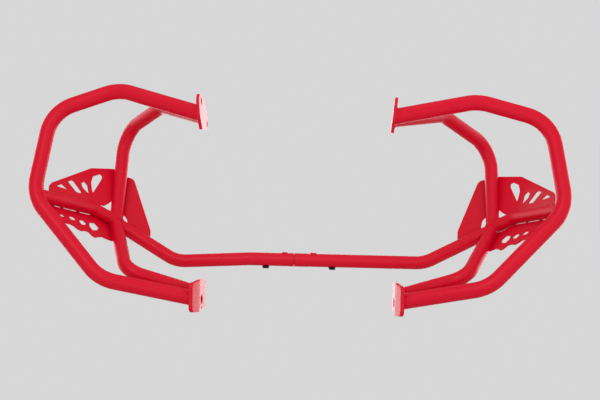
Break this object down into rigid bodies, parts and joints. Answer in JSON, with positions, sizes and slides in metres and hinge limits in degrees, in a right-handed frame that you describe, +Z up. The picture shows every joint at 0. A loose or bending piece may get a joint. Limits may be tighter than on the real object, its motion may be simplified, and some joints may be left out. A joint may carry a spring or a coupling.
{
  "type": "motorcycle crash bars",
  "caption": "Bent and welded tube crash bars for a motorcycle, with pierced guard plates, bolt-on mount plates and a cross tube joined under the engine.",
  "frame": {"origin": "middle of the box round the whole part", "axes": "+X to the right as seen from the front of the picture, along the cross tube; +Y away from the viewer; +Z up"},
  "size_m": [0.8801, 0.2602, 0.3693],
  "materials": {
    "red_paint": "satin",
    "black_steel": "satin",
    "bare_steel": "satin"
  },
  "bodies": {
    "root": {"joining_slug": "bare_steel", "left_brace_tube": "red_paint", "left_cross_tube": "red_paint", "left_end_collar": "red_paint", "left_inner_gusset_plate": "red_paint", "left_joint_bolt": "black_steel", "left_lower_guard_plate": "red_paint", "left_lower_inner_tube": "red_paint", "left_lower_mount_plate": "red_paint", "left_outer_loop_tube": "red_paint", "left_top_plug": "red_paint", "left_upper_guard_plate": "red_paint", "left_upper_inner_tube": "red_paint", "left_upper_mount_plate": "red_paint", "right_brace_tube": "red_paint", "right_cross_tube": "red_paint", "right_end_collar": "red_paint", "right_inner_gusset_plate": "red_paint", "right_joint_bolt": "black_steel", "right_lower_guard_plate": "red_paint", "right_lower_inner_tube": "red_paint", "right_lower_mount_plate": "red_paint", "right_outer_loop_tube": "red_paint", "right_top_plug": "red_paint", "right_upper_guard_plate": "red_paint", "right_upper_inner_tube": "red_paint", "right_upper_mount_plate": "red_paint"}
  },
  "joints": []
}
